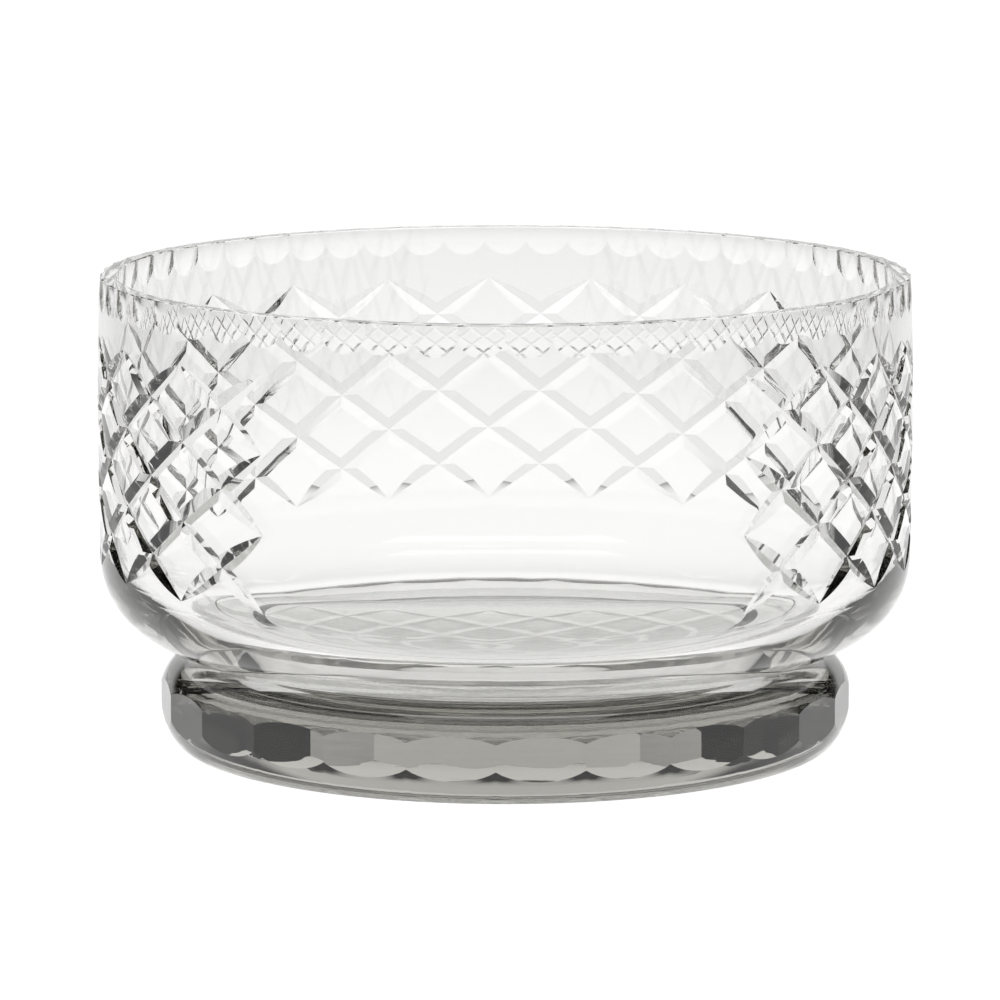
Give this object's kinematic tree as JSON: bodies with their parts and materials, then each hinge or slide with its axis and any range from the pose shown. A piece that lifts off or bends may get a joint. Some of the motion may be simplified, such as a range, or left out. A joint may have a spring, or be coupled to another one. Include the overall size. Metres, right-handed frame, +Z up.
{
  "type": "punch bowl",
  "caption": "Round cut-crystal punch bowl with a diamond lattice of V grooves, a clear front panel, thumb cuts round the rim and a solid faceted foot.",
  "frame": {"origin": "centre of the ring that the foot stands on, in the plane of the table", "axes": "+Z up along the bowl's axis; -Y out through the middle of the clear uncut panel; +X to the right of someone facing that panel"},
  "size_m": [0.3048, 0.3048, 0.177],
  "materials": {
    "bowl_crystal": "clear, polished",
    "foot_crystal": "clear, polished"
  },
  "bodies": {
    "root": {"bowl": "bowl_crystal", "foot": "foot_crystal"}
  },
  "joints": []
}
